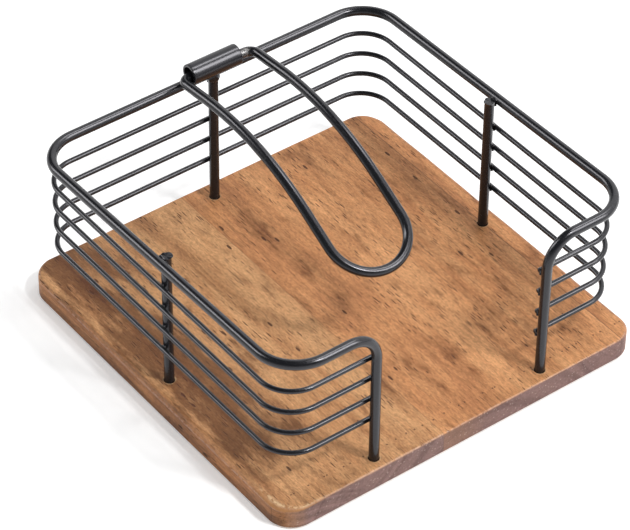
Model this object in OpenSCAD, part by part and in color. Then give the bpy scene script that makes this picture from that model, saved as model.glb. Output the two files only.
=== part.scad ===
// Table napkin holder: a wooden board carries an open basket of bent wire, and a hinged wire arm
// lies on what the basket holds. Millimetres, +Z up, +Y towards the hinge, origin under the middle
// of the board at the level of the table.

/* [Board] */
// Width of the board, side to side
board_w = 190; // [150:1:260]
// Depth of the board, front to back
board_d = 190; // [150:1:260]
// Thickness of the board
board_t = 10.5; // [8:0.5:20]
// Radius of the board's corners, seen from above
board_corner_r = 12; // [5:0.5:30]
// Radius of the board's eased upper edges
board_edge_r = 1.5; // [0.4:0.1:3]
// Radius of the board's eased lower edges
board_low_r = 0.5; // [0.2:0.1:3]

/* [Basket] */
// Diameter of the wire of the rail, the legs, the posts and the arm
wire_d = 4.5; // [3.6:0.1:6]
// Distance from the board's sides to the rail's centre line
rail_side_inset = 4.8; // [0:0.1:20]
// Distance from the board's back edge to the rail's centre line
rail_back_inset = 4.3; // [0:0.1:20]
// Distance from the board's front edge to the centre line of the front legs
rail_front_inset = 6.4; // [4:0.1:25]
// Height of the rail's centre line above the board, at the front
rail_h = 71.2; // [50:0.1:110]
// How far the rail falls from the front to the back
rail_fall = 4.3; // [0:0.1:8]
// Radius of the rail's four corners
rail_corner_r = 18.4; // [10:0.1:30]
// Distance between the centre lines of the two front legs
mouth_w = 89.4; // [60:0.1:100]
// Radius of the bend at the top of each front leg
leg_bend_r = 14; // [8:0.5:20]
// How far the side posts end above the rail's centre line
post_rise = 1.1; // [0:0.1:2]
// Room left for the weld where two wires touch
weld_gap = 0.05; // [0.02:0.01:0.2]

/* [Side wires] */
// Diameter of the side wires
side_d = 2.3; // [1.6:0.1:3.2]
// Distance from the rail down to the highest side wire, at the back
side_drop = 12.4; // [8:0.1:20]
// Height of the lowest side wire above the board
side_lift = 20; // [10:0.1:26]
// Radius of the side wires' corners
side_corner_r = 15.4; // [8:0.1:25]
// How far the side wires run past the middle of the front legs
side_stub = 0.7; // [0.4:0.1:8]

/* [Hinge] */
// Outer diameter of the hinge tube
tube_od = 9.8; // [9:0.1:14]
// Wall of the hinge tube
tube_wall = 1.25; // [0.8:0.05:1.5]
// Length of the hinge tube
tube_len = 25.5; // [18:0.5:40]
// Height of the hinge tube's axis above the rail behind it
tube_lift = 8.4; // [8:0.1:14]
// Gap under the arm's wire where it lies in the tube
pin_gap = 0.25; // [0.15:0.05:0.4]

/* [Arm] */
// Side play of the arm, at each end of the hinge tube
arm_play = 4.05; // [2.5:0.05:8]
// Share of the side play by which the arm has slid to the right
arm_slide = 0.5; // [-0.8:0.1:0.8]
// Distance between the arm's two ends inside the tube
arm_end_gap = 3; // [1:0.5:10]
// Radius of the bends beside the tube
arm_pin_r = 4.5; // [3.5:0.1:5]
// Angle at which the arm rises out of the hinge
arm_rise_angle = 5.2; // [0:0.1:12]
// Length of the arm's first straight stretch, from the hinge axis
arm_reach = 19.8; // [12:0.1:40]
// Radius of the arm's long curve
arm_curve_r = 125; // [90:1:160]
// Angle at which the arm dips at its tip
arm_dip_angle = 28.4; // [15:0.1:35]
// Length of the straight stretch before the arm's round tip
arm_tail = 18.4; // [5:0.1:30]

/* [Fasteners and feet] */
// Diameter of the screws' threads
screw_d = 3; // [2:0.1:3]
// Diameter of the screw heads
screw_head_d = 5.6; // [4.5:0.1:7]
// Height of the screw heads
screw_head_h = 1.8; // [1.2:0.1:2.4]
// How far a screw reaches into its wire
screw_grip = 7; // [4:0.5:12]
// Thickness of the wood between a screw head and the wire above it
screw_web = 3.1; // [2:0.1:4]
// Depth of a screw head below the underside of the board
screw_sink = 0.6; // [0.2:0.1:1]
// Room round a wire's foot in its hole
foot_clearance = 0.2; // [0.1:0.05:0.4]
// Diameter of the pads under the board
pad_d = 12; // [8:0.5:20]
// Thickness of the pads under the board
pad_h = 0.7; // [0.5:0.1:3]
// Distance from the board's edges to the middle of a pad
pad_inset = 17; // [12:0.5:40]

/* [Hidden] */
$fn = 48;

wood = "#a06f42";
coat = "#34353a";
steel = "#b8bbc0";
rubber = "#3a3a3c";

// Heights of the board, the sockets of the wire feet and the screw heads
board_bottom = pad_h;
board_top = board_bottom + board_t;
head_seat = board_bottom + screw_sink + screw_head_h;
foot_z = head_seat + screw_web;
head_hole_d = screw_head_d + 2 * foot_clearance;
screw_hole_d = screw_d + 2 * foot_clearance;
// Height of the swelling where two stretches of a wire meet
bend_swell = 0.02;
// A tapped hole is drawn as a plain bore with a little room round the thread
thread_room = 0.05;
tap_d = screw_d + 2 * thread_room;
tap_depth = screw_grip + 1;

// Centre lines of the rail, which leans back by its fall
rail_x = board_w / 2 - rail_side_inset;
front_y = -board_d / 2 + rail_front_inset;
back_y = board_d / 2 - rail_back_inset;
rail_front_z = board_top + rail_h;
rail_back_z = rail_front_z - rail_fall;
rail_run = back_y - front_y;
rail_lean = atan(rail_fall / rail_run);
rail_slope_len = rail_run / cos(rail_lean);
leg_x = mouth_w / 2;

// Posts stand inside the rail, and the side wires pass outside the posts and behind the legs
post_x = rail_x - wire_d - weld_gap;
post_back_y = back_y - wire_d - weld_gap;
weld_reach = (wire_d + side_d) / 2 + weld_gap;
side_x = post_x + weld_reach;
side_back_y = post_back_y + weld_reach;
side_front_y = front_y + weld_reach;
side_top_z = rail_back_z - side_drop;
side_low_z = board_top + side_lift;
side_count = 4;
side_pitch = (side_top_z - side_low_z) / (side_count - 1);
post_top = rail_back_z + rail_fall * back_y / rail_run + post_rise;

// The tube lies on the back post, and the arm's wire lies low in the tube
tube_z = rail_back_z + tube_lift;
bore_d = tube_od - 2 * tube_wall;
pin_z = tube_z - (bore_d - wire_d) / 2 + pin_gap;
arm_half = tube_len / 2 + arm_play + wire_d / 2;
arm_x = arm_slide * arm_play;
arm_pin_len = arm_half - arm_pin_r - arm_end_gap / 2;

// The five wire feet: two legs and three posts
feet = [[-leg_x, front_y], [leg_x, front_y], [-post_x, 0], [post_x, 0], [0, post_back_y]];

// A wire is drawn as it is bent: each step heads along +Y and hands its end to the next step
module straight(d, l) {
    rotate([-90, 0, 0])
        cylinder(d = d, h = l);
    translate([0, l, 0])
        children();
}

// Bends the wire towards +X by angle a, on a centre line of radius r
module bend(d, r, a) {
    translate([r, 0, 0])
        rotate([0, 0, 180 - a])
            rotate_extrude(angle = a)
                translate([r, 0])
                    circle(d = d);
    translate([r, 0, 0])
        rotate([0, 0, -a])
            translate([-r, 0, 0])
                children();
}

// Bend of a wire that isn't square to the board: a slight swelling at both of its ends makes one
// solid of the stretches that meet there
module odd_bend(d, r, a) {
    sphere(d = d + 2 * bend_swell);
    bend(d, r, a) {
        sphere(d = d + 2 * bend_swell);
        children();
    }
}

// Turns the wire about its own heading, to set the plane of the next bend
module roll(a) {
    rotate([0, a, 0])
        children();
}

// Tapped hole in the foot of a wire
module tapped_hole() {
    translate([0, 0, foot_z - 1])
        cylinder(d = tap_d, h = tap_depth + 1);
}

// Side view of the board's rim: eased above and below, square inside
module rim_profile() {
    top_flat = board_corner_r - board_edge_r;
    low_flat = board_corner_r - board_low_r;
    edge_h = board_t - board_edge_r;
    square([low_flat, edge_h]);
    translate([0, board_low_r])
        square([board_corner_r, edge_h - board_low_r]);
    translate([0, board_low_r])
        square([top_flat, board_t - board_low_r]);
    translate([top_flat, edge_h])
        circle(r = board_edge_r);
    translate([low_flat, board_low_r])
        circle(r = board_low_r);
}

module board_blank() {
    inner_w = board_w - 2 * board_corner_r;
    inner_d = board_d - 2 * board_corner_r;
    translate([-inner_w / 2, -inner_d / 2, 0])
        cube([inner_w, inner_d, board_t]);
    for (turn = [0, 180])
        rotate([0, 0, turn]) {
            translate([inner_w / 2, inner_d / 2, 0])
                rotate([90, 0, 0])
                    linear_extrude(inner_d)
                        rim_profile();
            translate([-inner_w / 2, inner_d / 2, 0])
                rotate([90, 0, 90])
                    linear_extrude(inner_w)
                        rim_profile();
            translate([inner_w / 2, inner_d / 2, 0])
                rotate_extrude(angle = 90)
                    rim_profile();
            translate([-inner_w / 2, inner_d / 2, 0])
                rotate([0, 0, 90])
                    rotate_extrude(angle = 90)
                        rim_profile();
        }
}

module base_board() {
    color(wood)
        difference() {
            translate([0, 0, board_bottom])
                board_blank();
            for (p = feet)
                translate([p[0], p[1], 0]) {
                    translate([0, 0, foot_z])
                        cylinder(d = wire_d + 2 * foot_clearance, h = board_t);
                    cylinder(d = screw_hole_d, h = board_top);
                    cylinder(d = head_hole_d, h = head_seat);
                }
        }
}

// Up the right leg, round the basket in the leaning plane and down the left leg
module top_rail() {
    leg = rail_front_z - leg_bend_r - foot_z;
    front = rail_x - rail_corner_r - leg_x - leg_bend_r;
    side = rail_slope_len - 2 * rail_corner_r;
    back = 2 * (rail_x - rail_corner_r);
    color(coat)
        difference() {
            translate([leg_x, front_y, foot_z])
                rotate([90, 0, 0])
                    straight(wire_d, leg) odd_bend(wire_d, leg_bend_r, 90) straight(wire_d, front)
                    roll(90 - rail_lean) odd_bend(wire_d, rail_corner_r, 90) straight(wire_d, side)
                    odd_bend(wire_d, rail_corner_r, 90) straight(wire_d, back)
                    odd_bend(wire_d, rail_corner_r, 90) straight(wire_d, side)
                    odd_bend(wire_d, rail_corner_r, 90) straight(wire_d, front)
                    roll(rail_lean - 90) odd_bend(wire_d, leg_bend_r, 90) straight(wire_d, leg);
            for (x = [-leg_x, leg_x])
                translate([x, front_y, 0])
                    tapped_hole();
        }
}

// One open square of thin wire, counted from the top
module side_wire(number) {
    start_x = leg_x - side_stub;
    front = side_x - side_corner_r - start_x;
    side = side_back_y - side_front_y - 2 * side_corner_r;
    back = 2 * (side_x - side_corner_r);
    color(coat)
        translate([start_x, side_front_y, side_top_z - (number - 1) * side_pitch])
            rotate([180, 0, 90])
                straight(side_d, front) bend(side_d, side_corner_r, 90) straight(side_d, side)
                bend(side_d, side_corner_r, 90) straight(side_d, back)
                bend(side_d, side_corner_r, 90) straight(side_d, side)
                bend(side_d, side_corner_r, 90) straight(side_d, front);
}

module side_post(side) {
    color(coat)
        translate([side * post_x, 0, 0])
            difference() {
                translate([0, 0, foot_z])
                    cylinder(d = wire_d, h = post_top - foot_z);
                tapped_hole();
            }
}

// The back post's top is hollowed to the tube that is welded on it
module back_post() {
    color(coat)
        difference() {
            translate([0, post_back_y, foot_z])
                cylinder(d = wire_d, h = tube_z - tube_od / 4 - foot_z);
            translate([-wire_d, post_back_y, tube_z])
                rotate([0, 90, 0])
                    cylinder(d = tube_od + 2 * weld_gap, h = 2 * wire_d);
            translate([0, post_back_y, 0])
                tapped_hole();
        }
}

module hinge_tube() {
    color(coat)
        translate([-tube_len / 2, post_back_y, tube_z])
            rotate([0, 90, 0])
                difference() {
                    cylinder(d = tube_od, h = tube_len);
                    translate([0, 0, -1])
                        cylinder(d = bore_d, h = tube_len + 2);
                }
}

// Out of the tube to the right, along the curve to the round tip, and back into the tube
module press_arm() {
    reach = arm_reach - arm_pin_r;
    curve = arm_rise_angle + arm_dip_angle;
    color(coat)
        translate([arm_x + arm_end_gap / 2, post_back_y, pin_z])
            rotate([-arm_rise_angle, 0, 0])
                rotate([0, 0, -90])
                    straight(wire_d, arm_pin_len) odd_bend(wire_d, arm_pin_r, 90) straight(wire_d, reach)
                    roll(90) odd_bend(wire_d, arm_curve_r, curve) straight(wire_d, arm_tail)
                    roll(-90) odd_bend(wire_d, arm_half, 180) straight(wire_d, arm_tail)
                    roll(90) odd_bend(wire_d, arm_curve_r, curve) straight(wire_d, reach)
                    roll(-90) odd_bend(wire_d, arm_pin_r, 90) straight(wire_d, arm_pin_len);
}

// Pan head screw with a cross recess
module screw() {
    slot_w = screw_d / 4;
    slot_l = screw_head_d * 0.6;
    slot_h = screw_head_h * 0.55;
    translate([0, 0, head_seat])
        cylinder(d = screw_d, h = screw_web + screw_grip);
    difference() {
        translate([0, 0, head_seat - screw_head_h])
            cylinder(d = screw_head_d, h = screw_head_h);
        for (turn = [0, 90])
            translate([0, 0, head_seat - screw_head_h])
                rotate([0, 0, turn])
                    cube([slot_l, slot_w, 2 * slot_h], center = true);
    }
}

module base_screws() {
    color(steel)
        for (p = feet)
            translate([p[0], p[1], 0])
                screw();
}

// Round pad with an eased lower edge
module foot_pad(side_x, side_y) {
    ease = pad_h / 3;
    color(rubber)
        translate([side_x * (board_w / 2 - pad_inset), side_y * (board_d / 2 - pad_inset), 0])
            rotate_extrude()
                polygon([[0, 0], [pad_d / 2 - ease, 0], [pad_d / 2, ease], [pad_d / 2, pad_h], [0, pad_h]]);
}

base_board();
top_rail();
side_wire(1);  // side_wire_1
side_wire(2);  // side_wire_2
side_wire(3);  // side_wire_3
side_wire(4);  // side_wire_4
side_post(-1);  // left_post
side_post(1);  // right_post
back_post();
hinge_tube();
press_arm();
base_screws();
foot_pad(-1, -1);  // foot_pad_front_left
foot_pad(1, -1);  // foot_pad_front_right
foot_pad(-1, 1);  // foot_pad_back_left
foot_pad(1, 1);  // foot_pad_back_right
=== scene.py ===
import bmesh
import bpy
import numpy as np
from mathutils import Matrix


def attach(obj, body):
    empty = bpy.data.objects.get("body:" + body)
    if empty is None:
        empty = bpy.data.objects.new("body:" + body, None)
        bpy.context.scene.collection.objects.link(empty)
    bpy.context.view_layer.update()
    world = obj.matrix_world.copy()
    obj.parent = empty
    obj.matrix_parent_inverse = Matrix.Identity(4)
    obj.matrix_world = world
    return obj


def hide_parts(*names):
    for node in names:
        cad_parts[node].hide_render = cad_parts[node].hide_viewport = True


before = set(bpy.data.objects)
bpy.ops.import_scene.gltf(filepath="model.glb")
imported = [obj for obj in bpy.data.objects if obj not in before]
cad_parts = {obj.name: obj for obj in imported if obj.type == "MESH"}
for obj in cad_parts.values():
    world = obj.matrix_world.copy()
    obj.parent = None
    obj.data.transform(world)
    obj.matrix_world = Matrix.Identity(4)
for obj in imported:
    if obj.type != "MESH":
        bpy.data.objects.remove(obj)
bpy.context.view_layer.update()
mm = 0.001
rng = np.random.default_rng(11)
print("frame loaded:", len(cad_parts), "nodes")

cameraSetup = dict(
    eye=(-0.66168, -0.85000, 0.98409),
    right=(0.798235, -0.602264, 0.009881),
    down=(-0.393235, -0.533475, -0.748846),
    ahead=(0.456274, 0.593870, -0.662671),
    focalPixels=3330.877,
    imageWidth=630,
    sensorWidth=36.0,
)


def addObject(name, data):
    made = bpy.data.objects.new(name, data)
    bpy.context.scene.collection.objects.link(made)
    return made


def setPlace(thing, x, y, z, origin):
    place = np.eye(4)
    place[:3] = np.stack([x, y, z, origin], axis=1)
    thing.matrix_world = Matrix(place.tolist())


def placeCamera(setup):
    data = bpy.data.cameras.new("photoCamera")
    data.sensor_fit = "HORIZONTAL"
    data.sensor_width = setup["sensorWidth"]
    data.lens = setup["focalPixels"] / setup["imageWidth"] * setup["sensorWidth"]
    camera = addObject("photoCamera", data)
    down, ahead = np.array(setup["down"]), np.array(setup["ahead"])
    setPlace(camera, setup["right"], -down, -ahead, setup["eye"])
    bpy.context.scene.camera = camera


placeCamera(cameraSetup)
print("camera placed")


# A shader socket that takes part in sums: each operator adds one Math node
class Feed:
    def __init__(self, tree, socket=None):
        self.tree = tree
        self.socket = socket

    def node(self, kind, settings=None, sockets=None, out=0):
        made = self.tree.nodes.new("ShaderNode" + kind)
        for key, value in (settings or {}).items():
            if key == "stops":
                self.setStops(made.color_ramp.elements, value)
            else:
                setattr(made, key, value)
        for key, value in (sockets or {}).items():
            if isinstance(value, Feed):
                self.tree.links.new(value.socket, made.inputs[key])
            else:
                made.inputs[key].default_value = value
        return Feed(self.tree, made.outputs[out] if made.outputs else None)

    # another output of the node that this socket belongs to
    def also(self, out):
        return Feed(self.tree, self.socket.node.outputs[out])

    def setStops(self, elements, stops):
        elements.remove(elements[1])
        elements[0].position, elements[0].color = stops[0]
        for place, colour in stops[1:]:
            elements.new(place).color = colour

    def sums(self, operation, *values):
        return self.node("Math", {"operation": operation}, dict(enumerate(values)))

    def __add__(self, other):
        return self.sums("ADD", self, other)

    def __sub__(self, other):
        return self.sums("SUBTRACT", self, other)

    def __rsub__(self, other):
        return self.sums("SUBTRACT", other, self)

    def __mul__(self, other):
        return self.sums("MULTIPLY", self, other)

    def __pow__(self, other):
        return self.sums("POWER", self, other)

    def __abs__(self):
        return self.sums("ABSOLUTE", self)

    __radd__ = __add__

    # 0 below low, 1 above high, and a soft step between; low above high turns it round
    def step(self, low, high):
        if low > high:
            return 1 - self.step(high, low)
        span = {"interpolation_type": "SMOOTHSTEP"}
        return self.node("MapRange", span, {0: self, 1: low, 2: high, 3: 0.0, 4: 1.0})

    def mix(self, share, first, second, blend):
        mixing = {"data_type": "RGBA", "blend_type": blend}
        return self.node("Mix", mixing, {0: share, 6: first, 7: second}, 2)

    # goes from the first colour to the second, as far as this value says
    def tint(self, first, second):
        return self.mix(self, first, second, "MIX")

    # multiplies a colour by a stain, as far as this value says
    def stain(self, colour, stain):
        return self.mix(self, colour, stain, "MULTIPLY")

    # multiplies a colour by this value
    def shade(self, colour):
        grey = self.node("CombineColor", None, {0: self, 1: self, 2: self})
        return self.mix(1.0, colour, grey, "MULTIPLY")

    def mark(self, name):
        return self.node("Attribute", {"attribute_name": name}, None, 2)


def rgb(red, green, blue):
    return (red, green, blue, 1.0)


# Object coordinates in millimetres
def placeInMm(start):
    place = start.node("TexCoord", None, None, 3)
    return place.node("VectorMath", {"operation": "MULTIPLY"}, {0: place, 1: (1000.0,) * 3})


# factors are features per millimetre along each axis: a small one draws the pattern out
def noise(place, factors, detail=2.0, rough=0.5):
    spot = place.node("VectorMath", {"operation": "MULTIPLY"}, {0: place, 1: factors})
    sockets = {"Vector": spot, "Scale": 1.0, "Detail": detail, "Roughness": rough}
    return place.node("TexNoise", None, sockets)


# Bands of noise along one value
def bandNoise(value, detail, rough=0.5):
    sockets = {"W": value, "Scale": 1.0, "Detail": detail, "Roughness": rough}
    return value.node("TexNoise", {"noise_dimensions": "1D"}, sockets)


# One mark in each cell of a Voronoi pattern; inner and outer bound its soft edge, and rarity is the share
# of cells that stay empty
def flecks(place, size, inner, outer, rarity):
    spot = place.node("VectorMath", {"operation": "DIVIDE"}, {0: place, 1: size})
    cells = place.node("TexVoronoi", None, {"Vector": spot, "Scale": 1.0}, "Distance")
    chosen = place.node("SeparateColor", None, {0: cells.also("Color")})
    return cells.step(outer, inner) * chosen.step(rarity, rarity + 0.1)


def newFinish(name):
    material = bpy.data.materials.new(name)
    material.use_nodes = True
    material.node_tree.nodes.clear()
    return material, Feed(material.node_tree)


def closeFinish(start, sockets):
    shader = start.node("BsdfPrincipled", None, sockets)
    start.node("OutputMaterial", None, {0: shader})


woodLook = dict(
    pithX=34.0, pithZ=-58.0,  # the trunk's middle seen from the front, in millimetres
    bandsPerMm=0.17,
    bendSize=46, rippleSize=7,  # how far the bands stray, in millimetres
    ringX=-94.0, ringZ=-62.0, ringsPerMm=0.40,  # rings at the left of the end grain
    firstJoint=-12.5, secondJoint=85.6,  # glue lines between the staves, in millimetres from the middle
    jointWidth=0.22, jointSharp=0.05,
    firstJump=41, secondJump=67,  # how far off the next stave's pattern lies
    # noises: features per millimetre across, along and down the grain, then detail and roughness
    bend=((0.016, 0.0042, 0.016), 2.0, 0.5),
    ripple=((0.075, 0.011, 0.075), 2.0, 0.5),
    grit=((1.5, 0.6, 1.5), 2.0, 0.6),
    fibre=((1.25, 0.13, 1.25), 3.0, 0.65),
    thread=((0.55, 0.042, 0.55), 3.0, 0.6),
    streak=((0.22, 0.026, 0.22), 3.0, 0.55),
    patch=((0.060, 0.034, 0.060), 3.0, 0.6),
    redness=((0.11, 0.035, 0.11), 4.0, 0.65),
    crowd=((0.070, 0.030, 0.070), 3.0, 0.5),
    mottle=((1.1, 0.3, 1.1), 3.0, 0.65),
    ragged=((0.70, 0.50, 0.70), 4.0, 0.7),
    flake=((0.26, 0.26, 0.26), 4.0, 0.6),
    # pores: the size of their cells in millimetres, the radii of their soft edge and the share left empty
    fine=((0.95, 8.2, 0.95), 0.22, 0.27, 0.34),
    coarse=((5.0, 15.0, 5.0), 0.11, 0.14, 0.55),
    tiny=((0.55, 3.4, 0.55), 0.20, 0.30, 0.35),
    dots=((6.5, 6.5, 6.5), 0.035, 0.055, 0.5),
    speck=((1.5, 7.0, 1.5), 0.12, 0.30, 0.25),
    dotRow=-85.5, dotSpace=5.6,  # a row of single pores across the front, and their mean spacing
    dotEdge=(0.50, 0.25),
    # where the tone changes on the board: from and to, in millimetres
    paleSpan=(-38, -27), rightSpan=(58, 84), leftSpan=(-62, -84),
    # the left strip where heartwood and painted shade darken the top: across, along, and its lighter outer
    # margin
    heartShadeSide=(-50, -80), heartShadeFront=(-84, -48), heartShadeMargin=(-92, -87),
    warmCorner=(-82.5, -86.5), warmMiddle=(16, -6), ringSpan=(-46, -70),
    # foot: the heights between which the sides darken with painted shade towards the floor
    nearSide=(-35, -75), foot=(9.5, 1.0),
    pale=rgb(0.575, 0.310, 0.144),
    middle=rgb(0.462, 0.225, 0.098),
    deep=rgb(0.310, 0.135, 0.060),
    right=rgb(1.04, 0.96, 0.92),  # the staves right of the first glue line are more orange
    # the stain of heartwood and painted shade on the left strip
    heartAndShade=rgb(0.37, 0.31, 0.28),
    pore=rgb(0.070, 0.028, 0.018),
    flank=rgb(0.69, 0.56, 0.46),
    endTint=rgb(0.208, 0.128, 0.121),
    endDark=rgb(0.140, 0.085, 0.080),
    endWarm=rgb(0.245, 0.136, 0.094),
    endSpeck=rgb(0.53, 0.42, 0.36),
    worn=rgb(0.56, 0.375, 0.29),
    chip=rgb(0.74, 0.53, 0.31),
    burn=rgb(0.42, 0.20, 0.075),
    roughness=0.45, specular=0.2,
)


# Growth bands are a noise of the distance from the trunk's middle, and pores are cells drawn out along the
# grain; past each glue line the pattern comes from another place in the trunk
def woodFinish(look):
    material, start = newFinish("oiledAcacia")
    place = placeInMm(start)
    boardX = place.node("SeparateXYZ", None, {0: place})
    boardY = boardX.also(1)
    boardZ = boardX.also(2)
    sharp = look["jointSharp"]
    pastFirst = boardX.step(look["firstJoint"] - sharp, look["firstJoint"] + sharp)
    pastSecond = boardX.step(look["secondJoint"] - sharp, look["secondJoint"] + sharp)
    jump = pastFirst * look["firstJump"] + pastSecond * look["secondJump"]
    offset = jump.node("CombineXYZ", None, {0: jump * 0.7, 1: jump * 3.1, 2: jump * 0.4})
    grain = place.node("VectorMath", {"operation": "ADD"}, {0: place, 1: offset})
    x = grain.node("SeparateXYZ", None, {0: grain})
    bend = noise(grain, *look["bend"])
    ripple = noise(grain, *look["ripple"])
    across = x - look["pithX"] + (bend - 0.5) * look["bendSize"] + (ripple - 0.5) * look["rippleSize"]
    below = x.also(2) - look["pithZ"]
    radius = (across * across + below * below) ** 0.5
    bands = bandNoise(radius * look["bandsPerMm"], 3.0, 0.62)
    grit = noise(grain, *look["grit"])
    fibre = noise(grain, *look["fibre"])
    thread = noise(grain, *look["thread"])
    streak = noise(grain, *look["streak"])
    patch = noise(grain, *look["patch"])
    lighter = boardX.step(*look["paleSpan"]) * (1 - pastFirst) * 0.03
    darker = boardX.step(*look["rightSpan"]) * 0.04 + boardX.step(*look["leftSpan"]) * 0.02
    tone = bands * 0.32 + streak * 0.34 + patch * 0.26 + fibre * 0.08 - pastSecond * 0.03
    tone = tone + lighter - darker
    stops = [(0.32, look["deep"]), (0.44, look["middle"]), (0.57, look["pale"])]
    colour = tone.node("ValToRGB", {"stops": stops}, {0: tone})
    lines = fibre.step(0.36, 0.62) * 0.18 + thread.step(0.36, 0.64) * 0.12
    colour = (grit + lines + 0.32).shade(colour)
    colour = pastFirst.stain(colour, look["right"])

    # darker red heartwood mixed with painted shade, mostly along the left side; the last line paints plain
    # shade over the left strip, lighter at its outer margin
    flank = start.mark("flank")
    leftShadeAndHeart = boardX.step(*look["heartShadeSide"]) * boardY.step(*look["heartShadeFront"]) * (1 - flank)
    border = boardX + (thread - 0.5) * 6 + (patch - 0.5) * 12
    leftShadeAndHeart = leftShadeAndHeart * (border.step(*look["heartShadeMargin"]) * 0.58 + 0.42)
    heartAndShade = noise(grain, *look["redness"]) * 1.7 + leftShadeAndHeart * 0.46 - flank * 0.2 - 0.06
    heartAndShade = (heartAndShade + (thread - 0.5) * 0.6 + (fibre - 0.5) * 0.45).step(0.78, 1.26)
    colour = heartAndShade.stain(colour, look["heartAndShade"])
    colour = (1 - leftShadeAndHeart * 0.12).shade(colour)

    # pores, crowded in some places, and hair lines
    crowd = noise(grain, *look["crowd"]).step(0.44, 0.60)
    crowd = crowd.sums("MAXIMUM", crowd, heartAndShade * 0.8)
    fine = flecks(grain, *look["fine"]) * (crowd * 0.65 + 0.35)
    coarse = flecks(grain, *look["coarse"])
    tiny = flecks(grain, *look["tiny"])
    dots = flecks(grain, *look["dots"])
    beat = {"W": boardX * (1 / look["dotSpace"]), "Scale": 1.0}
    spaced = start.node("TexVoronoi", {"voronoi_dimensions": "1D"}, beat)
    sway = boardY - look["dotRow"] + (patch - 0.5) * 2
    dotted = (spaced * look["dotSpace"]).step(*look["dotEdge"]) * abs(sway).step(*look["dotEdge"])
    hair = thread.step(0.40, 0.30) * fibre.step(0.52, 0.38)
    dark = fine.sums("MAXIMUM", fine * 0.95, coarse * 0.9)
    for more in (dots * 0.8, dotted * 0.8, hair * 0.55, tiny * (crowd * 0.2 + 0.2)):
        dark = dark.sums("MAXIMUM", dark, more)

    # end grain on the front and back, with rings near its left end
    endGrain = start.mark("endGrain")
    speck = flecks(grain, *look["speck"])
    endBand = bands.step(0.56, 0.30)
    warm = boardX.step(*look["warmCorner"]) + pastFirst * boardX.step(*look["warmMiddle"])
    endColour = (endBand * 0.8).tint(look["endTint"], look["endDark"])
    endColour = (warm * 0.75).tint(endColour, look["endWarm"])
    endColour = (speck * 0.45).tint(endColour, look["endSpeck"])
    mottle = noise(grain, *look["mottle"])
    ringX = boardX - look["ringX"]
    ringZ = boardZ - look["ringZ"]
    ringRadius = (ringX * ringX + ringZ * ringZ) ** 0.5
    rings = bandNoise(ringRadius * look["ringsPerMm"] + mottle * 0.5, 2.0)
    ringed = (rings.step(0.38, 0.60) - 0.55) * boardX.step(*look["ringSpan"])
    endColour = (mottle + patch * 0.5 + 0.26 - ringed * 0.34).shade(endColour)
    colour = (dark * (1 - endGrain * 0.7)).tint(colour, look["pore"])

    # the sides along the grain are darker towards the near corner, and darker towards the foot with
    # painted shade where they meet the floor
    nearSide = boardY.step(*look["nearSide"]) * 0.16
    foot = boardZ.step(*look["foot"]) * 0.26
    colour = (1 + ((streak - 0.5) * 1.5 - nearSide - foot) * flank).shade(colour)
    # painted shade on the round-over just inside the arris of the long sides, towards the back
    colour = (1 - start.mark("crease") * 0.34).shade(colour)
    colour = flank.stain(colour, look["flank"])
    colour = (endGrain * 0.94).tint(colour, endColour)

    # glue lines, worn edges, chips and the shade in the holes
    firstLine = abs(boardX - look["firstJoint"]).step(look["jointWidth"], sharp)
    secondLine = abs(boardX - look["secondJoint"]).step(look["jointWidth"], sharp)
    glue = firstLine * 0.3 + secondLine * 0.75
    colour = glue.tint(colour, look["pore"])
    ragged = noise(place, *look["ragged"])
    wear = start.mark("edge") * ragged.step(0.34, 0.58)
    colour = (wear * 0.8).tint(colour, look["worn"])
    flake = noise(place, *look["flake"])
    colour = (start.mark("burn") * 0.75).tint(colour, look["burn"])
    chips = start.mark("chip") * (flake * 0.5 + ragged * 0.5).step(0.43, 0.54)
    colour = (chips * 0.9).tint(colour, look["chip"])
    colour = (1 - start.mark("socket") * 0.75).shade(colour)
    roughness = look["roughness"] + (streak - 0.5) * 0.2 + dark * 0.25 + endGrain * 0.2 + chips * 0.2
    height = fibre * 0.4 + grit * 0.3 - dark * 0.9 + speck * endGrain * 0.3 - glue * 0.5 - chips * 0.6
    bump = start.node("Bump", None, {"Strength": 0.6, "Distance": 0.00025, "Height": height})
    closeFinish(start, {"Base Color": colour, "Roughness": roughness, "Normal": bump,
                        "Specular IOR Level": look["specular"]})
    return material


coatLook = dict(
    colour=rgb(0.0085, 0.0091, 0.0112),
    worn=rgb(0.016, 0.016, 0.018),
    bare=rgb(0.115, 0.113, 0.112),
    roughness=0.23,
    specular=0.42, gleam=rgb(0.97, 0.95, 1.0),
)


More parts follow.
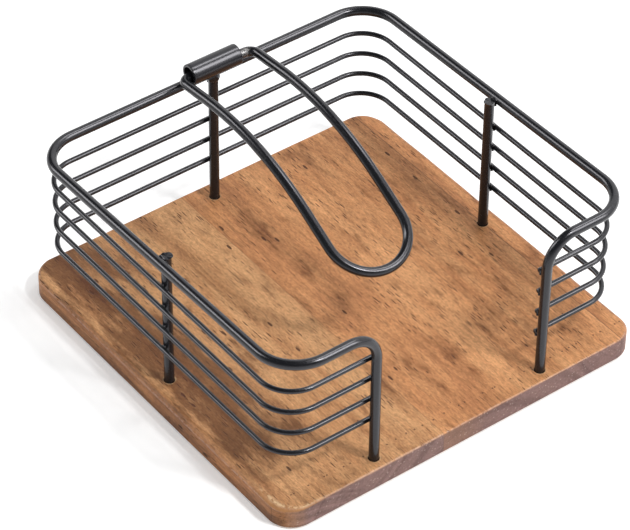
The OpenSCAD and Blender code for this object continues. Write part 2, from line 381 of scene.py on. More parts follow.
# Satin powder coat: orange peel in two sizes, and bare steel where the coatEdge attribute is below zero
def coatFinish(name, look, bareEnds):
    material, start = newFinish(name)
    place = placeInMm(start)
    peel = noise(place, (0.7, 0.7, 0.7))
    grain = noise(place, (4.0, 4.0, 4.0))
    cloud = noise(place, (0.06, 0.06, 0.06), 3.0)
    scuff = noise(place, (0.5, 0.5, 0.5), 4.0, 0.7).step(0.60, 0.72)
    colour = (cloud.step(0.40, 0.8) * 0.35 + grain * 0.2 + scuff * 0.4).tint(look["colour"], look["worn"])
    roughness = look["roughness"] + (peel - 0.5) * 0.08 + (cloud - 0.5) * 0.1 + scuff * 0.08
    height = peel * 0.9 + grain * 0.1
    sockets = {"Specular IOR Level": look["specular"], "Specular Tint": look["gleam"]}
    if bareEnds:
        ragged = noise(place, (1.6, 1.6, 1.6), 3.0) - 0.5
        bare = (start.mark("coatEdge") + ragged * 1.8).step(0.22, -0.22)
        draw = noise(place, (2.2, 0.9, 0.9), 3.0, 0.65)
        steel = (draw.step(0.38, 0.62) * 1.6 + 0.2).shade(look["bare"])
        colour = bare.tint(colour, steel)
        roughness = roughness * (1 - bare) + (draw * 0.3 + 0.25) * bare
        sockets["Metallic"] = bare
    bump = start.node("Bump", None, {"Strength": 0.03, "Distance": 0.00004, "Height": height})
    sockets.update({"Base Color": colour, "Roughness": roughness, "Normal": bump})
    closeFinish(start, sockets)
    return material


screwLook = dict(colour=rgb(0.66, 0.655, 0.63), dull=rgb(0.42, 0.41, 0.39), roughness=0.3)


def screwFinish(look):
    material, start = newFinish("zincSteel")
    place = placeInMm(start)
    blotch = noise(place, (0.9, 0.9, 0.9), 4.0, 0.65)
    scuff = noise(place, (5.0, 1.2, 5.0))
    colour = (blotch.step(0.35, 0.75) * 0.7).tint(look["colour"], look["dull"])
    roughness = look["roughness"] + (blotch - 0.4) * 0.3 + scuff * 0.1
    bump = start.node("Bump", None, {"Strength": 0.2, "Distance": 0.00003, "Height": scuff})
    closeFinish(start, {"Base Color": colour, "Roughness": roughness, "Metallic": 1.0, "Normal": bump})
    return material


padLook = dict(colour=rgb(0.040, 0.040, 0.042), dusty=rgb(0.095, 0.092, 0.088), roughness=0.85)


def padFinish(look):
    material, start = newFinish("padFoam")
    place = placeInMm(start)
    bubbles = noise(place, (3.4, 3.4, 3.4), 3.0, 0.6)
    dust = noise(place, (0.35, 0.35, 0.35), 3.0)
    colour = (dust.step(0.4, 0.75) * 0.6).tint(look["colour"], look["dusty"])
    roughness = look["roughness"] + (bubbles - 0.5) * 0.2
    bump = start.node("Bump", None, {"Strength": 0.6, "Distance": 0.00012, "Height": bubbles})
    closeFinish(start, {"Base Color": colour, "Roughness": roughness, "Normal": bump})
    return material


wood = woodFinish(woodLook)
coat = coatFinish("satinPowderCoat", coatLook, False)
armCoat = coatFinish("satinPowderCoatBareEnds", coatLook, True)
zinc = screwFinish(screwLook)
foam = padFinish(padLook)
print("finishes made")


# Puts points (millimetres) and faces into a mesh object; marks are attributes with one value per point,
# and edges that turn by more than sharp, in degrees, stay crisp
def makePiece(name, points, faces, material, marks=None, sharp=40):
    mesh = bpy.data.meshes.new(name)
    mesh.from_pydata((np.asarray(points) * mm).tolist(), [], faces)
    for key, values in (marks or {}).items():
        layer = mesh.attributes.new(key, "FLOAT", "POINT")
        layer.data.foreach_set("value", np.asarray(values, dtype=np.float32))
    mesh.shade_smooth()
    mesh.set_sharp_from_angle(angle=np.radians(sharp))
    mesh.materials.append(material)
    return addObject(name, mesh)


def dress(piece, body, slot, *nodes):
    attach(piece, body)
    if nodes:
        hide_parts(*nodes)


# Quads of a grid whose points are numbered row by row; a closed direction wraps round to its start
def gridFaces(rows, columns, closeRows=False, closeColumns=False, first=0):
    number = first + np.arange(rows * columns).reshape(rows, columns)
    if closeRows:
        number = np.vstack([number, number[:1]])
    if closeColumns:
        number = np.hstack([number, number[:, :1]])
    quads = np.stack([number[:-1, :-1], number[:-1, 1:], number[1:, 1:], number[1:, :-1]], axis=-1)
    return quads.reshape(-1, 4).tolist()


# Quads of a row of rings, closed at both ends by fans round the two points that follow the rings
def cappedFaces(rings, sides):
    faces = gridFaces(rings, sides, closeColumns=True)
    lap = np.arange(sides)
    onward = np.roll(lap, -1)
    lastRing = (rings - 1) * sides
    count = rings * sides
    faces += np.stack([onward, lap, np.full(sides, count)], axis=1).tolist()
    faces += np.stack([lastRing + lap, lastRing + onward, np.full(sides, count + 1)], axis=1).tolist()
    return faces


def fullTurn(steps):
    return np.linspace(0, 2 * np.pi, steps, endpoint=False)


def unit(vector):
    vector = np.asarray(vector, dtype=float)
    return vector / np.linalg.norm(vector, axis=-1, keepdims=True)


# Straight runs between the corners, with each inner corner replaced by an arc that touches both runs
def roundedPath(corners, radii, spacing=5.0, arcStep=5.0):
    corners = np.asarray(corners, dtype=float)
    places, headings = [], []
    start = corners[0]
    for i in range(1, len(corners)):
        ahead = unit(corners[i] - corners[i - 1])
        if i < len(corners) - 1:
            onward = unit(corners[i + 1] - corners[i])
            turn = np.arccos(np.clip(ahead @ onward, -1, 1))
            reach = radii[i - 1] * np.tan(turn / 2)
        else:
            reach = 0.0
        stop = corners[i] - ahead * reach
        length = np.linalg.norm(stop - start)
        if length > 0.01:
            share = np.linspace(0, 1, max(2, int(length / spacing)) + 1)
            if reach > 0:
                share = share[:-1]
            places.append(start + share[:, None] * (stop - start))
            headings.append(np.repeat(ahead[None], len(share), axis=0))
        if reach > 0:
            angle = np.linspace(0, turn, max(4, int(np.degrees(turn) / arcStep)) + 1)[:, None]
            inward = unit(onward - ahead * (ahead @ onward))
            centre = stop + inward * radii[i - 1]
            bow = centre + radii[i - 1] * (ahead * np.sin(angle) - inward * np.cos(angle))
            places.append(bow[:-1])
            headings.append((ahead * np.cos(angle) + inward * np.sin(angle))[:-1])
            start = corners[i] + onward * reach
    return np.vstack(places), np.vstack(headings)


# A circle carried along the path, square to it and turned with the least twist; the ends are eased and
# closed. Also gives each point's distance along the path
def sweepTube(path, headings, radius, sides, ease=0.35):
    easeAngle = np.linspace(0, np.pi / 2, 5)
    back = np.concatenate([ease * (1 - np.sin(easeAngle)), [0, 0]])
    capRadius = np.concatenate([radius - ease * (1 - np.cos(easeAngle)), [0.6 * radius, 0.25 * radius]])
    head = path[0] + headings[0] * back[::-1, None]
    tail = path[-1] - headings[-1] * back[:, None]
    stations = np.vstack([head, path[1:-1], tail])
    along = np.vstack([np.repeat(headings[:1], len(back), 0), headings[1:-1],
                       np.repeat(headings[-1:], len(back), 0)])
    radii = np.concatenate([capRadius[::-1], np.full(len(path) - 2, radius), capRadius])
    side = np.empty_like(along)
    askew = (0.31, 0.52, 0.79)  # no wire starts in this direction
    side[0] = unit(np.cross(along[0], askew))
    for i in range(1, len(along)):
        side[i] = unit(side[i - 1] - along[i] * (along[i] @ side[i - 1]))
    other = np.cross(along, side)
    angle = fullTurn(sides)
    ring = side[:, None] * np.cos(angle)[None, :, None] + other[:, None] * np.sin(angle)[None, :, None]
    points = (stations[:, None] + radii[:, None, None] * ring).reshape(-1, 3)
    faces = cappedFaces(len(stations), sides)
    points = np.vstack([points, path[0], path[-1]])
    travel = np.concatenate([[0], np.cumsum(np.linalg.norm(np.diff(stations, axis=0), axis=1))])
    travel = np.concatenate([np.repeat(travel, sides), [0, travel[-1]]])
    return points, faces, travel


def joinShells(shells):
    points, faces, count = [], [], 0
    for shellPoints, shellFaces in shells:
        points.append(shellPoints)
        faces += [[count + corner for corner in face] for face in shellFaces]
        count += len(shellPoints)
    return np.vstack(points), faces


board = dict(
    half=95.0, bottom=0.7, top=11.2, cornerRadius=12.0,
    longEdge=2.6, endEdge=1.05, lowEdge=0.5,  # rounding along and across the grain, and of the lower edge
    longBend=64, endBend=78,  # degrees that the upper edge goes round before the wall
    topMargin=1.1, lowMargin=0.6,  # flat strips inside the rounding
    wall=(0.03, 0.1, 0.25, 0.5, 0.75, 0.9),  # rows down the wall, as shares of its height
    edgeWander=0.2,  # how much the hand-sanded edge wanders
    waves=((0.45, 5, 0.6), (0.35, 13, 2.1), (0.2, 29, 4.0)),  # size, count and phase round the board
    cornerWear=0.5, wornReach=15.0,  # wear of the near corner, and its reach along the sides
    wornInset=3.5, wornFade=2.5,
    # marks on the edges: the tilt in radians where each is strongest, and its spread; crease is painted
    # shade on the round-over just inside the arris of the long sides
    crest=(0.65, 0.27), crease=(0.60, 0.16), chip=(0.2, 0.25), burn=(0.95, 0.35),
    crestSide=0.12, crestEnd=0.74, arris=(0.4, 0.7, 0.4),
    edgeShadeFrom=-25, edgeShadeFade=8,  # where the painted edge shade begins along the sides, and how softly
    endFrom=0.62, endSpan=0.33,
    arrisAngle=16,  # edges that turn by more than this, in degrees, stay crisp
    cornerSteps=30, sideSteps=80,
    feet=((-44.7, -88.6), (44.7, -88.6), (-85.65, 0.0), (85.65, 0.0), (0.0, 86.15)),
    socketRadius=2.45, socketFloor=6.2, screwRadius=1.7, headSeat=3.1, headRadius=3.0, lip=0.14,
    socketMargin=0.8, headMargin=0.35, holeSides=40,
    rimShade=(0, 0, 0.3, 0.7), footShade=(0.3, 0),  # how dark a hole is at its top and lower rims
    fringe=(0, 0.5, 0.4, 0.2),  # chips round the top rim
)


# Strongest where the edge tilts by middle, and gone a few widths to either side
def bell(tilt, middle, width):
    return np.exp(-((tilt - middle) / width) ** 2)


# The eased side profile carried round a square with rounded corners; each hole is a stepped profile turned
# round the middle of a wire foot; flat fields between their edges close the top and the underside
def boardPiece(b):
    inner = b["half"] - b["cornerRadius"]
    middles = inner * np.array([(1, 1), (-1, 1), (-1, -1), (1, -1)], dtype=float)
    arc = np.linspace(0, np.pi / 2, b["cornerSteps"] + 1)
    share = np.linspace(0, 1, b["sideSteps"] + 1)[1:-1, None]
    centres, angles = [], []
    for k in range(4):
        onward = middles[(k + 1) % 4]
        centres += [np.repeat(middles[k: k + 1], len(arc), 0), middles[k] + share * (onward - middles[k])]
        angles += [k * np.pi / 2 + arc, np.full(len(share), (k + 1) * np.pi / 2)]
    centre = np.vstack(centres)
    angle = np.concatenate(angles)
    lap = fullTurn(len(angle))
    wander = sum(size * np.sin(count * lap + phase) for size, count, phase in b["waves"])
    outward = np.stack([np.cos(angle), np.sin(angle)], axis=1)
    endward = outward[:, 1] ** 2
    away = np.hypot(*(centre + outward * b["cornerRadius"] + b["half"] - b["wornInset"]).T)
    nearCorner = 1 / (1 + np.exp((away - b["wornReach"]) / b["wornFade"]))
    ease = (b["longEdge"] + (b["endEdge"] - b["longEdge"]) * endward) * (1 + b["edgeWander"] * wander)
    ease = ease + b["cornerWear"] * nearCorner * (0.6 + 0.4 * np.sin(37 * lap) * np.sin(71 * lap + 0.9))
    lastBend = np.radians(b["longBend"] + (b["endBend"] - b["longBend"]) * endward)
    bend = np.linspace(0, 1, 9)[None] * lastBend[:, None]
    full = np.sin(bend[:, -1:])
    radius = ease[:, None] / full
    topInset = np.concatenate([ease[:, None] + b["topMargin"], radius * (full - np.sin(bend))], axis=1)
    flat = np.zeros((len(lap), 1))
    topDrop = np.concatenate([flat, radius * (1 - np.cos(bend))], axis=1)
    lowBend = np.linspace(np.pi / 2, 0, 9)
    easeLow = b["lowEdge"] * (1 - 0.6 * b["edgeWander"] * wander)[:, None]
    lowInset = np.concatenate([easeLow * (1 - np.sin(lowBend)), easeLow + b["lowMargin"]], axis=1)
    lowRise = np.concatenate([easeLow * (1 - np.cos(lowBend)), flat], axis=1)
    wall = np.array(b["wall"])
    high = b["top"] - topDrop[:, -1:]
    low = b["bottom"] + easeLow
    upright = high + (low - high) * wall
    height = np.concatenate([b["top"] - topDrop, upright, b["bottom"] + lowRise], axis=1)
    inset = np.concatenate([topInset, np.zeros((len(lap), len(wall))), lowInset], axis=1)
    plan = centre[:, None] + outward[:, None] * (b["cornerRadius"] - inset)[:, :, None]
    rim = np.concatenate([plan, height[:, :, None]], axis=2)
    rows, columns = rim.shape[:2]
    topRows = topInset.shape[1]

    lower = np.concatenate([np.full(len(wall), np.pi / 2), lowBend, [0]])
    tilt = np.concatenate([np.zeros((rows, 1)), bend, np.repeat(lower[None], rows, 0)], axis=1)
    steep = np.sin(tilt)
    upper = np.where(np.arange(columns) < topRows, 1.0, 0.4)
    upper[0] = 0
    sideward = 1 - endward[:, None]
    crest = upper * bell(tilt, *b["crest"]) * (b["crestSide"] + b["crestEnd"] * endward[:, None])
    arris = np.zeros(columns)
    arris[topRows - 2: topRows + 1] = b["arris"]
    farSide = 1 / (1 + np.exp((b["edgeShadeFrom"] - centre[:, 1]) / b["edgeShadeFade"]))
    marks = {"edge": np.maximum(crest, sideward * arris),
             "chip": nearCorner[:, None] * upper * bell(tilt, *b["chip"]),
             "burn": nearCorner[:, None] * upper * bell(tilt, *b["burn"]),
             "crease": upper * bell(tilt, *b["crease"]) * sideward * farSide[:, None],
             "flank": np.abs(outward[:, :1]) * steep,
             "endGrain": np.clip((np.abs(outward[:, 1:]) * steep - b["endFrom"]) / b["endSpan"], 0, 1),
             "socket": np.zeros((rows, columns))}
    marks = {key: values.ravel() for key, values in marks.items()}

    lipBend = np.linspace(0, np.pi / 2, 4)
    lipOut = b["lip"] * (1 - np.sin(lipBend))
    lipDown = b["lip"] * (1 - np.cos(lipBend))
    holeRadius = np.concatenate([[b["socketRadius"] + b["socketMargin"]], b["socketRadius"] + lipOut,
                                 [b["socketRadius"], b["screwRadius"], b["screwRadius"], b["headRadius"]],
                                 b["headRadius"] + lipOut[::-1], [b["headRadius"] + b["headMargin"]]])
    holeHeight = np.concatenate([[b["top"]], b["top"] - lipDown, [b["socketFloor"]] * 2,
                                 [b["headSeat"]] * 2, b["bottom"] + lipDown[::-1], [b["bottom"]]])
    steps = len(holeRadius)
    within = np.ones(steps - len(b["rimShade"]) - len(b["footShade"]))
    holeShade = np.concatenate([b["rimShade"], within, b["footShade"]])
    fringe = np.concatenate([b["fringe"], np.zeros(steps - len(b["fringe"]))])
    holeMarks = {key: np.zeros(b["holeSides"] * steps) for key in marks}
    holeMarks["socket"] = np.tile(holeShade, b["holeSides"])
    holeMarks["chip"] = np.tile(fringe, b["holeSides"])
    turn = fullTurn(b["holeSides"])
    circle = np.stack([np.cos(turn), np.sin(turn)], axis=1)
    tall = np.repeat(holeHeight[None, :, None], len(turn), 0)
    points = [rim.reshape(-1, 3)]
    faces = gridFaces(rows, columns, closeRows=True)
    loops = [(np.arange(rows) * columns, np.arange(rows) * columns + columns - 1)]
    count = rows * columns
    for foot in b["feet"]:
        plan = np.array(foot) + circle[:, None] * holeRadius[None, :, None]
        points.append(np.concatenate([plan, tall], axis=2).reshape(-1, 3))
        faces += gridFaces(len(turn), steps, closeRows=True, first=count)
        ring = count + np.arange(len(turn)) * steps
        loops.append((ring, ring + steps - 1))
        marks = {key: np.concatenate([values, holeMarks[key]]) for key, values in marks.items()}
        count += len(turn) * steps
    piece = makePiece("boardWood", np.vstack(points), faces, wood, marks)
    work = bmesh.new()
    work.from_mesh(piece.data)
    work.verts.ensure_lookup_table()
    for level in (0, 1):
        edges = []
        for loop in loops:
            ring = [work.verts[i] for i in loop[level]]
            edges += [work.edges.get(pair) for pair in zip(ring, ring[1:] + ring[:1])]
        bmesh.ops.triangle_fill(work, edges=edges, use_beauty=True)
    bmesh.ops.recalc_face_normals(work, faces=work.faces)
    work.to_mesh(piece.data)
    work.free()
    piece.data.shade_smooth()
    piece.data.set_sharp_from_angle(angle=np.radians(b["arrisAngle"]))
    return piece


dress(boardPiece(board), "holder", "wood", "base_board")
print("board made")

rail = dict(
    wire=2.25, sides=32, side=90.2, front=-88.6, back=90.7, frontHeight=82.4, backHeight=78.1,
    legX=44.7, legRadius=14.0, cornerRadius=18.4, foot=6.2,
)


def railPiece(r):
    right = np.array([(r["legX"], r["front"], r["foot"]), (r["legX"], r["front"], r["frontHeight"]),
                      (r["side"], r["front"], r["frontHeight"]), (r["side"], r["back"], r["backHeight"])])
    corners = np.vstack([right, right[::-1] * (-1, 1, 1)])
    radii = [r["legRadius"]] + [r["cornerRadius"]] * 4 + [r["legRadius"]]
    points, faces = sweepTube(*roundedPath(corners, radii), r["wire"], r["sides"])[:2]
    return makePiece("railWire", points, faces, coat)


dress(railPiece(rail), "holder", "powder_coat", "top_rail")

sideWires = dict(
    wire=1.15, sides=24, ease=0.3, side=89.1, front=-85.15, back=89.6, cornerRadius=15.4, end=44.0,
    heights=(65.7, 54.2, 42.7, 31.2),
)


def sideWirePiece(s, number):
    height = s["heights"][number]
    right = np.array([(s["end"], s["front"], height), (s["side"], s["front"], height),
                      (s["side"], s["back"], height)])
    corners = np.vstack([right, right[::-1] * (-1, 1, 1)])
    path, headings = roundedPath(corners, [s["cornerRadius"]] * 4)
    points, faces = sweepTube(path, headings, s["wire"], s["sides"], s["ease"])[:2]
    return makePiece("sideWire%d" % (number + 1), points, faces, coat)


for number in range(len(sideWires["heights"])):
    dress(sideWirePiece(sideWires, number), "holder", "powder_coat", "side_wire_%d" % (number + 1))

posts = dict(
    wire=2.25, sides=40, ease=0.12, foot=6.2, side=85.65, sideTop=81.375, back=86.15, backTop=82.05,
    plain=2.0, plainSteps=14,  # the rows stand wide apart up to this far below the top
    topSteps=(1.4, 0.9, 0.55, 0.3, 0.1, 0),
    cutDepth=1.7, cutSlant=0.5, flare=0.5,  # the cropped tops slope and are hammered out into a burr
    sink=0.26, burrShare=0.6,
    leftTurn=2.4, rightTurn=0.5, backTurn=1.6,  # the side that each top slopes down to, in radians
)


# A straight sweep whose top is lowered by a slope and a few waves round it, and spread like a mushroom
def postPiece(name, p, x, y, top, turned):
    plain = np.linspace(p["foot"], top - p["plain"], p["plainSteps"])
    heights = np.concatenate([plain, top - np.array(p["topSteps"])])
    path = np.stack([np.full_like(heights, x), np.full_like(heights, y), heights], axis=1)
    headings = np.repeat([(0.0, 0.0, 1.0)], len(path), 0)
    points, faces = sweepTube(path, headings, p["wire"], p["sides"], p["ease"])[:2]
    dx, dy = points[:, 0] - x, points[:, 1] - y
    angle = np.arctan2(dy, dx)
    spread = np.hypot(dx, dy) / p["wire"]
    near = np.clip((points[:, 2] - top + p["cutDepth"]) / p["cutDepth"], 0, 1)
    petals = 1 + 0.5 * np.sin(2 * angle + turned) + 0.3 * np.sin(5 * angle)
    flare = 1 + p["flare"] / p["wire"] * near ** 2 * petals
    slope = 0.5 + 0.5 * np.cos(angle - turned) * spread
    burr = 0.16 * np.sin(3 * angle + 1.3) + 0.1 * np.sin(7 * angle + 0.4)
    points[:, 0] = x + dx * flare
    points[:, 1] = y + dy * flare
    ragged = p["sink"] * (1 - spread) + spread * (p["sink"] + burr) * p["burrShare"]
    points[:, 2] -= near * (p["cutSlant"] * slope + ragged)
    return makePiece(name, points, faces, coat, None, 50)


leftPost = postPiece("leftPostWire", posts, -posts["side"], 0, posts["sideTop"], posts["leftTurn"])
rightPost = postPiece("rightPostWire", posts, posts["side"], 0, posts["sideTop"], posts["rightTurn"])
backPost = postPiece("backPostWire", posts, 0, posts["back"], posts["backTop"], posts["backTurn"])
dress(leftPost, "holder", "powder_coat", "left_post")
dress(rightPost, "holder", "powder_coat", "right_post")
dress(backPost, "holder", "powder_coat", "back_post")
print("basket wires made")

tube = dict(y=86.15, z=86.5, outer=4.9, inner=3.65, half=12.75, lip=0.3, sides=72, run=10.75, runSteps=5)


# A ring-shaped profile, eased at its four corners, turned round the hinge axis
def tubePiece(t):
    bend = np.linspace(0, np.pi / 2, 5)
    lip, outer, inner, half = t["lip"], t["outer"], t["inner"], t["half"]
    x = np.concatenate([half - lip + lip * np.sin(bend), half - lip + lip * np.cos(bend)])
    r = np.concatenate([outer - lip + lip * np.cos(bend), inner + lip - lip * np.sin(bend)])
    run = np.linspace(t["run"], -t["run"], t["runSteps"])
    x = np.concatenate([x, run, -x[::-1], run[::-1]])
    r = np.concatenate([r, np.full(len(run), inner), r[::-1], np.full(len(run), outer)])
    turn = fullTurn(t["sides"])[:, None]
    across = np.repeat(x[None], t["sides"], 0)
    points = np.stack([across, t["y"] + r * np.cos(turn), t["z"] + r * np.sin(turn)], axis=2)
    faces = gridFaces(t["sides"], len(x), closeRows=True, closeColumns=True)
    return makePiece("hingeSleeve", points.reshape(-1, 3), [face[::-1] for face in faces], coat)


dress(tubePiece(tube), "holder", "powder_coat", "hinge_tube")

arm = dict(
    wire=2.25, sides=32, middleX=2.025, halfWidth=19.05, pivotY=86.15, pivotZ=85.35,
    pinRadius=4.5, endGap=1.5, rise=5.2, dip=28.4, reach=19.8, curveRadius=125.0, tail=18.4,
    spacing=2.5, arcStep=3.0,  # between rings: millimetres on straights, degrees on bends
    bareRight=16.0, bareLeft=12.4,  # bare steel at each end, in millimetres along the wire
)


def armPiece(a):
    rise, dip = np.radians(a["rise"]), np.radians(a["dip"])
    pivot = np.array([0, a["pivotY"], a["pivotZ"]])
    up = np.array([0, -np.cos(rise), np.sin(rise)])
    down = np.array([0, -np.cos(dip), -np.sin(dip)])
    tangent = a["curveRadius"] * np.tan((rise + dip) / 2)
    elbow = pivot + up * (a["reach"] + tangent)
    tip = elbow + down * (tangent + a["tail"] + a["halfWidth"])
    right = np.array([pivot, pivot, elbow, tip])
    right[:, 0] = [a["endGap"]] + [a["halfWidth"]] * 3
    corners = np.vstack([right, right[::-1] * (-1, 1, 1)]) + (a["middleX"], 0, 0)
    radii = [a["pinRadius"], a["curveRadius"], a["halfWidth"]]
    path, headings = roundedPath(corners, radii + radii[::-1], a["spacing"], a["arcStep"])
    points, faces, travel = sweepTube(path, headings, a["wire"], a["sides"])
    coatEdge = np.minimum(travel - a["bareRight"], travel.max() - travel - a["bareLeft"])
    return makePiece("pressArmWire", points, faces, armCoat, {"coatEdge": coatEdge})


dress(armPiece(arm), "arm", "powder_coat", "press_arm")
print("hinge and arm made")

welds = dict(
    rows=18, columns=28, lump=0.13, smallest=0.9, largest=1.06,
    side=(0.95, 0.62, 0.72), rail=(1.8, 0.85, 0.85),  # half lengths: along the wire, outwards, upwards
    tip=(0.95, 1.3, 1.35), tipLump=0.05,  # the rounded end of each thin wire
    lift=1.2, forward=0.7,  # how far a bead's middle is above the wire's and off the post's
    postOut=2.65, legOut=2.7, railOut=2.35,  # from a post's or leg's middle to a bead's
    sideRises=(0.95, -1.75), backRises=(1.75, -1.75),  # beads above and below the rail
)


# A ball stretched along three axes, with a few waves on its radius
def bead(w, centre, along, out, size, lump):
    polar = np.linspace(0, np.pi, w["rows"])[:, None]
    lap = fullTurn(w["columns"])[None]
    phase = rng.uniform(0, 2 * np.pi, 4)
    broad = np.sin(2 * lap + phase[0]) * np.cos(3 * polar + phase[1])
    narrow = 0.6 * np.sin(5 * lap + phase[2]) * np.sin(4 * polar + phase[3])
    radius = 1 + lump * np.sin(polar) * (broad + narrow)
    radius = radius * rng.uniform(w["smallest"], w["largest"])
    axes = np.array([along, out, np.cross(along, out)], dtype=float)
    parts = [size[0] * radius * np.cos(polar) + 0 * lap, size[1] * radius * np.sin(polar) * np.cos(lap),
             size[2] * radius * np.sin(polar) * np.sin(lap)]
    points = sum(part[..., None] * axis for part, axis in zip(parts, axes))
    points = (points + centre).reshape(-1, 3)
    body = points[w["columns"]: -w["columns"]]
    faces = cappedFaces(w["rows"] - 2, w["columns"])
    return np.vstack([body, points[0], points[-1]]), [face[::-1] for face in faces]


def weldPiece(w, p):
    alongX, alongY = (1, 0, 0), (0, 1, 0)
    shells = []
    for height in sideWires["heights"]:
        for side in (-1, 1):
            tip = (side * sideWires["end"], sideWires["front"], height)
            shells.append(bead(w, tip, alongX, alongY, w["tip"], w["tipLump"]))
        for rise in (w["lift"], -w["lift"]):
            level = height + rise
            for side in (-1, 1):
                post = (side * (p["side"] + w["postOut"]), -w["forward"], level)
                leg = (side * (rail["legX"] - w["forward"]), rail["front"] + w["legOut"], level)
                shells.append(bead(w, post, alongY, (side, 0, 0), w["side"], w["lump"]))
                shells.append(bead(w, leg, alongX, alongY, w["side"], w["lump"]))
            back = (w["forward"], p["back"] + w["legOut"], level)
            shells.append(bead(w, back, alongX, alongY, w["side"], w["lump"]))
    railMiddle = rail["backHeight"] * -rail["front"] + rail["frontHeight"] * rail["back"]
    railMiddle /= rail["back"] - rail["front"]
    for side in (-1, 1):
        for rise in w["sideRises"]:
            place = (side * (p["side"] + w["railOut"]), 0, railMiddle + rise)
            shells.append(bead(w, place, alongY, (side, 0, 0), w["rail"], w["lump"]))
    for rise in w["backRises"]:
        place = (0, p["back"] + w["railOut"], rail["backHeight"] + rise)
        shells.append(bead(w, place, alongX, alongY, w["rail"], w["lump"]))
    points, faces = joinShells(shells)
    return makePiece("weldBeads", points, faces, coat, None, 180)


dress(weldPiece(welds, posts), "holder", "powder_coat")

collar = dict(radius=2.25, thick=0.8, tall=2.2, drop=1.5, laps=72, sides=24)


# A lumpy sleeve, its section an upright oval, that follows the seam between the back post and the tube
def collarPiece(c):
    lap = fullTurn(c["laps"])[:, None]
    turn = fullTurn(c["sides"])[None]
    lumps = 1 + 0.2 * np.sin(4 * lap + 0.7) * np.cos(turn + 0.5) + 0.14 * np.sin(9 * lap + 2.0 + 2 * turn)
    reach = c["radius"] + c["thick"] * lumps * np.cos(turn)
    seam = tube["z"] - np.sqrt(tube["outer"] ** 2 - (c["radius"] * np.sin(lap)) ** 2)
    fall = seam - c["drop"] + c["tall"] * (1 + 0.12 * np.sin(3 * lap + 1.0)) * np.sin(turn)
    points = np.stack([reach * np.cos(lap), tube["y"] + reach * np.sin(lap), fall], axis=2)
    faces = [face[::-1] for face in gridFaces(c["laps"], c["sides"], closeRows=True, closeColumns=True)]
    return makePiece("tubeCollar", points.reshape(-1, 3), faces, coat, None, 180)


dress(collarPiece(collar), "holder", "powder_coat")
print("welds made")

screws = dict(
    seat=3.1, low=1.3, headRadius=2.8, dome=0.75, recessLength=1.55, recessWidth=0.34, recessDepth=1.0,
    recessSlope=0.1, recessEnd=0.25,  # how far the sides and the ends of the cross slope
    innerRings=(0.02, 0.72, 34), outerRings=(0.76, 1, 10),  # on the head: from, to and count
    headEase=0.1, headEaseTall=0.12, neck=0.02, threadStart=0.05,
    shank=1.5, tip=13.2, pitch=0.5, threadDepth=0.27, threadSteps=130, turnSteps=96,
    pointLength=0.8, pointWidth=0.25,  # the taper at the tip, and its narrowest share
)


# One arm of the cross: 1 in its middle, sloping to 0 at its sides and ends
def crossArm(s, along, across):
    width = np.clip((s["recessWidth"] + s["recessSlope"] - across) / s["recessSlope"], 0, 1)
    return width * np.clip((s["recessLength"] - along) / s["recessEnd"], 0, 1)


# The head is a low dome with a cross pressed into it; a triangular wave winds round the shank's radius
def screwShell(s, x, y, turned):
    angle = fullTurn(s["turnSteps"])[None]
    share = np.concatenate([np.linspace(*s["innerRings"]), np.linspace(*s["outerRings"])])[:, None]
    radius = share * s["headRadius"]
    dx, dy = np.abs(radius * np.cos(angle)), np.abs(radius * np.sin(angle))
    sink = s["recessDepth"] * np.maximum(crossArm(s, dx, dy), crossArm(s, dy, dx))
    rise = s["dome"] * (1 - np.sqrt(np.clip(1 - share ** 3, 0, 1)))
    head = np.stack([radius * np.cos(angle), radius * np.sin(angle), s["low"] + rise + sink], axis=2)
    wall = np.stack([np.repeat(np.cos(angle), 3, 0), np.repeat(np.sin(angle), 3, 0)], axis=2)
    wallRadius = np.array([s["headRadius"], s["headRadius"] - s["headEase"], s["shank"] + s["neck"]])
    wallHeight = np.array([s["seat"] - s["headEaseTall"], s["seat"], s["seat"]])[:, None, None]
    wallHeight = np.repeat(wallHeight, s["turnSteps"], 1)
    wall = np.concatenate([wall * wallRadius[:, None, None], wallHeight], axis=2)
    climb = np.linspace(s["seat"] + s["threadStart"], s["tip"], s["threadSteps"])[:, None]
    wave = np.abs(((climb / s["pitch"] - angle / (2 * np.pi)) % 1.0) * 2 - 1)
    point = np.clip((s["tip"] - climb) / s["pointLength"], s["pointWidth"], 1)
    thread = (s["shank"] - s["threadDepth"] * wave) * point
    shank = np.stack([thread * np.cos(angle), thread * np.sin(angle), climb + 0 * angle], axis=2)
    grid = np.concatenate([head, wall, shank], axis=0)
    cos, sin = np.cos(turned), np.sin(turned)
    turn = np.array([[cos, -sin, 0], [sin, cos, 0], [0, 0, 1]])
    points = grid.reshape(-1, 3) @ turn.T + (x, y, 0)
    ends = [(x, y, s["low"] + s["recessDepth"]), (x, y, s["tip"])]
    return np.vstack([points, ends]), cappedFaces(len(grid), s["turnSteps"])


def screwPiece(s):
    turns = rng.uniform(0, np.pi / 2, len(board["feet"]))
    points, faces = joinShells([screwShell(s, x, y, t) for (x, y), t in zip(board["feet"], turns)])
    return makePiece("boardScrews", points, faces, zinc, None, 35)


dress(screwPiece(screws), "holder", "screw_steel", "base_screws")

pads = dict(
    place=78.0, radius=6.0, height=0.7, ease=0.24, sides=72,
    waist=0.08, waistShare=0.75,  # how far the side draws in, and at which share of the height
    lowRings=(0.6, 2.2, 4.2), topRings=(4.0, 1.0),
)


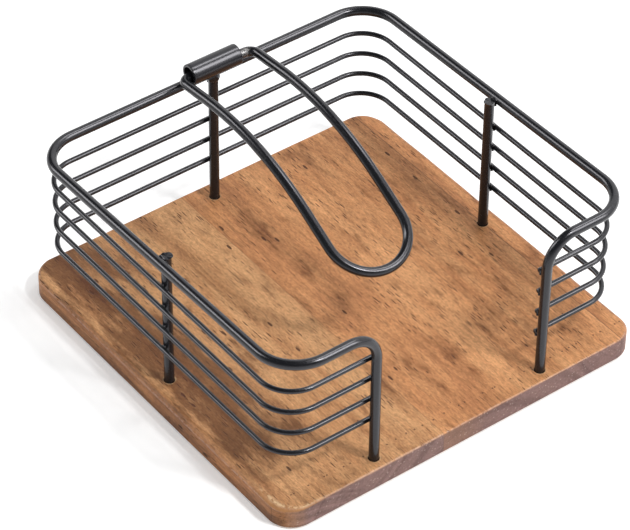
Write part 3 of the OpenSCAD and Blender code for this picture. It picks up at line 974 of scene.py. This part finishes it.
# A low profile, rounded below and slightly waisted, turned round the pad's middle
def padPiece(p, name, sx, sy):
    bend = np.linspace(0, np.pi / 2, 6)
    low = np.array(p["lowRings"])
    rounded = p["radius"] - p["ease"] + p["ease"] * np.sin(bend)
    r = np.concatenate([low, rounded, [p["radius"] - p["waist"], p["radius"]], p["topRings"]])[:, None]
    lifts = [p["waistShare"] * p["height"]] + [p["height"]] * (1 + len(p["topRings"]))
    z = np.concatenate([low * 0, p["ease"] * (1 - np.cos(bend)), lifts])[:, None]
    turn = fullTurn(p["sides"])
    x, y = sx * p["place"], sy * p["place"]
    points = np.stack([x + r * np.cos(turn), y + r * np.sin(turn), np.repeat(z, p["sides"], 1)], axis=2)
    points = np.vstack([points.reshape(-1, 3), (x, y, 0), (x, y, p["height"])])
    return makePiece(name, points, cappedFaces(len(r), p["sides"]), foam)


for deep, sy in (("Front", -1), ("Back", 1)):
    for wide, sx in (("Left", -1), ("Right", 1)):
        node = "foot_pad_%s_%s" % (deep.lower(), wide.lower())
        dress(padPiece(pads, "pad" + deep + wide, sx, sy), "holder", "pad_rubber", node)
print("screws and pads made")

studio = dict(
    floorSize=8.0, floor=rgb(0.96, 0.96, 0.96), floorGlow=0.24, roomLight=0.64,
    mirroredFloor=rgb(1.35, 1.35, 1.35),  # the same floor, as bright as the wires mirror it
    key=((0.207, -0.518, 0.829), 1.6, 0.2, 12.5, True),  # towards, distance, size, power, mirrored
    fill=((0.515, 0.05, 0.856), 1.6, 0.35, 4.5, False),
    # what the wires mirror: the strength of each light, and its soft edges as parts of the direction
    ceiling=0.06, horizon=(0.02, 0.40),
    rightGlow=1.4, rightEdge=(0.24, 0.44),
    leftCard=9.6, leftEdges=((-0.72, -0.60), (-0.36, -0.48)), leftDepth=(0.34, 0.50),
    frontCard=13.5, frontEdges=((-0.78, -0.68), (-0.38, -0.48)),
    topCard=11.5, topEdges=((-0.14, -0.04), (0.20, 0.10)),
    nearEdges=((0.20, 0.36), (0.72, 0.56)),
)


def addLamp(name, towards, distance, size, power, mirrored):
    data = bpy.data.lights.new(name, "AREA")
    data.size = size
    data.energy = power
    back = unit(towards)
    side = unit(np.cross((0, 0, 1), back))
    lamp = addObject(name, data)
    setPlace(lamp, side, np.cross(back, side), back, back * distance)
    lamp.visible_glossy = mirrored


def buildFloor(s):
    material, start = newFinish("paleFloor")
    seen = start.node("LightPath", None, None, "Is Camera Ray")
    matt = start.node("BsdfDiffuse", None, {"Color": s["floor"]})
    bright = start.node("BsdfDiffuse", None, {"Color": s["mirroredFloor"]})
    matt = start.node("MixShader", None, {0: seen.also("Is Glossy Ray"), 1: matt, 2: bright})
    glow = start.node("Emission", None, {"Color": s["floor"], "Strength": seen * s["floorGlow"]})
    start.node("OutputMaterial", None, {0: start.node("AddShader", None, {0: matt, 1: glow})})
    half = s["floorSize"] / 2
    corners = [(-half, -half, 0), (half, -half, 0), (half, half, 0), (-half, half, 0)]
    mesh = bpy.data.meshes.new("paleFloor")
    mesh.from_pydata(corners, [], [(0, 1, 2, 3)])
    mesh.materials.append(material)
    floor = addObject("paleFloor", mesh)


# 1 between two soft edges
def strip(part, opens, closes):
    return part.step(*opens) * part.step(*closes)


def buildRoom(s):
    world = bpy.data.worlds.new("paleRoom")
    bpy.context.scene.world = world
    world.use_nodes = True
    world.node_tree.nodes.clear()
    start = Feed(world.node_tree)
    seen = start.node("LightPath", None, None, "Is Camera Ray")
    mirrored = seen.also("Is Glossy Ray") + seen.also("Is Transmission Ray")
    x = start.node("SeparateXYZ", None, {0: start.node("TexCoord", None, None, 0)})
    y = x.also(1)
    leftCard = strip(x, *s["leftEdges"]) * y.step(*s["leftDepth"]) * s["leftCard"]
    nearCards = strip(y, *s["frontEdges"]) * s["frontCard"] + strip(y, *s["topEdges"]) * s["topCard"]
    cards = leftCard + nearCards * strip(x, *s["nearEdges"])
    sky = s["ceiling"] + x.step(*s["rightEdge"]) * s["rightGlow"] + cards
    backdrop = 1 - x.also(2).step(*s["horizon"]) * (1 - sky)
    room = (1 - seen - mirrored) * s["roomLight"]
    strength = room + seen + mirrored * backdrop
    light = start.node("Background", None, {"Color": rgb(1, 1, 1), "Strength": strength})
    start.node("OutputWorld", None, {0: light})


buildFloor(studio)
buildRoom(studio)
addLamp("keyLamp", *studio["key"])
addLamp("fillLamp", *studio["fill"])
bpy.context.scene.view_settings.view_transform = "Standard"
print("studio lit")
